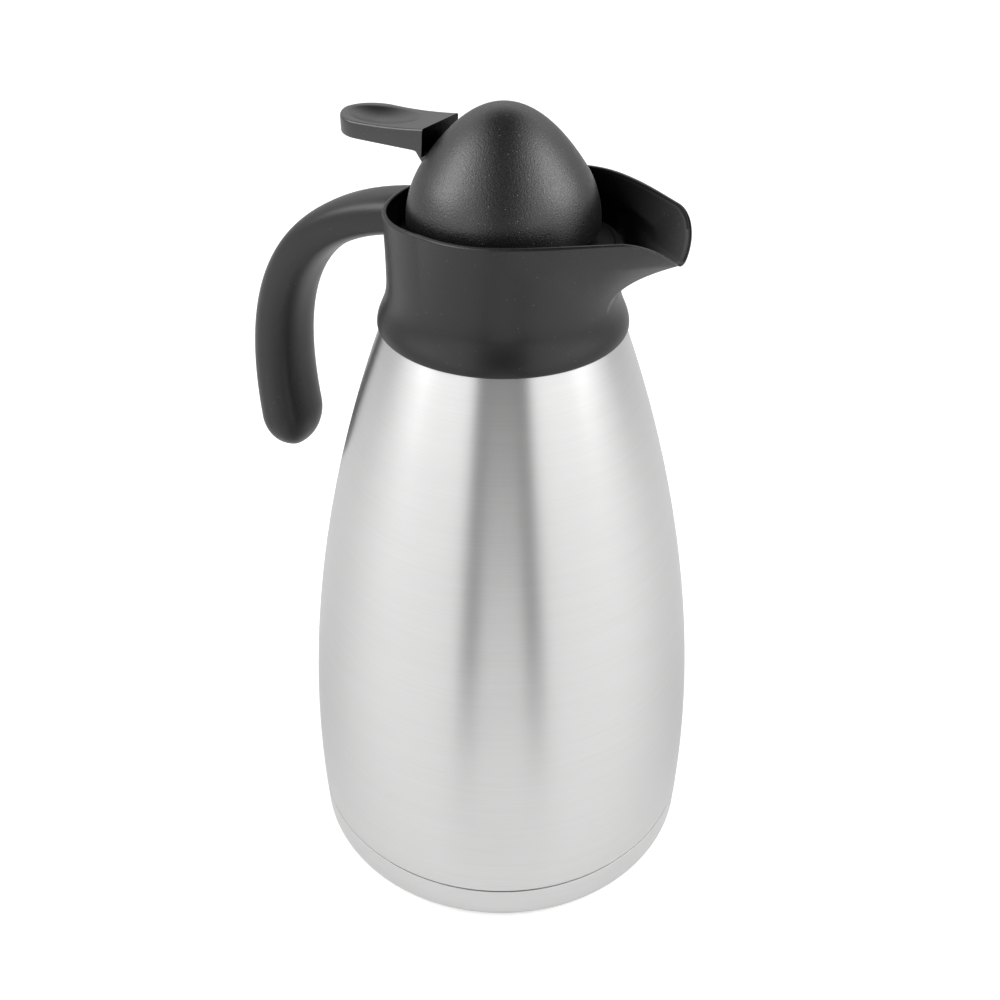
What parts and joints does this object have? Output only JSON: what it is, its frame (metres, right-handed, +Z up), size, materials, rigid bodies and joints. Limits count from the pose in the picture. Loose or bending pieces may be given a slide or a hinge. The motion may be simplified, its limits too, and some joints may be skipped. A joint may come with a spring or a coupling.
{
  "type": "insulated pouring jug",
  "caption": "Double-walled steel jug with a moulded pouring collar, an open hook handle and a domed stopper whose thumb lever lifts the pouring valve.",
  "frame": {"origin": "centre of the standing ring, on the table plane", "axes": "+Z up along the flask's axis, +X towards the pouring beak, the handle is on the -X side"},
  "size_m": [0.1646, 0.134, 0.2595],
  "materials": {
    "brushed_shell": "brushed round the axis",
    "liner_steel": "satin",
    "bead": "matte",
    "seal_rubber": "matte",
    "grey_plastic": "fine satin grain",
    "dome_plastic": "spark-eroded grain",
    "inner_plastic": "smooth",
    "screw_steel": "bright"
  },
  "bodies": {
    "vessel": {"outer_shell": "brushed_shell", "inner_liner": "liner_steel", "liner_cup": "liner_steel", "base_cup": "brushed_shell", "vacuum_base": "liner_steel", "seal_bead": "bead", "getter_pellet": "bead", "getter_clip": "liner_steel", "neck_gasket": "seal_rubber", "collar": "grey_plastic", "handle": "grey_plastic", "handle_screws": "screw_steel"},
    "lid": {"stopper": "inner_plastic", "stopper_seal": "seal_rubber", "stem_guide": "inner_plastic", "lever_pin": "screw_steel", "dome": "dome_plastic", "valve_spring": "screw_steel"},
    "lever": {"thumb_lever": "grey_plastic"},
    "valve": {"valve_stem": "inner_plastic", "stem_cap": "inner_plastic", "valve_plug": "inner_plastic", "valve_seal": "seal_rubber"}
  },
  "joints": [
    {"name": "lid_lift", "type": "slide", "parent": "vessel", "child": "lid", "axis": [0, 0, 1], "range_m": [0, 0.09]},
    {"name": "lever_press", "type": "hinge", "parent": "lid", "child": "lever", "pos_m": [-0.014, 0, 0.23651], "axis": [0, -1, 0], "range_deg": [0, 16], "stiffness_Nm_per_rad": 0.002, "springref_deg": -28.65},
    {"name": "valve_lift", "type": "slide", "parent": "lid", "child": "valve", "axis": [0, 0, 1], "range_m": [0, 0.0039], "stiffness_N_per_m": 80, "springref_m": -0.004, "deforming": ["valve_spring"]}
  ],
  "couplings": [
    {"joint": "lever_press", "follows": "valve_lift", "rad_per_m": 71.429}
  ]
}
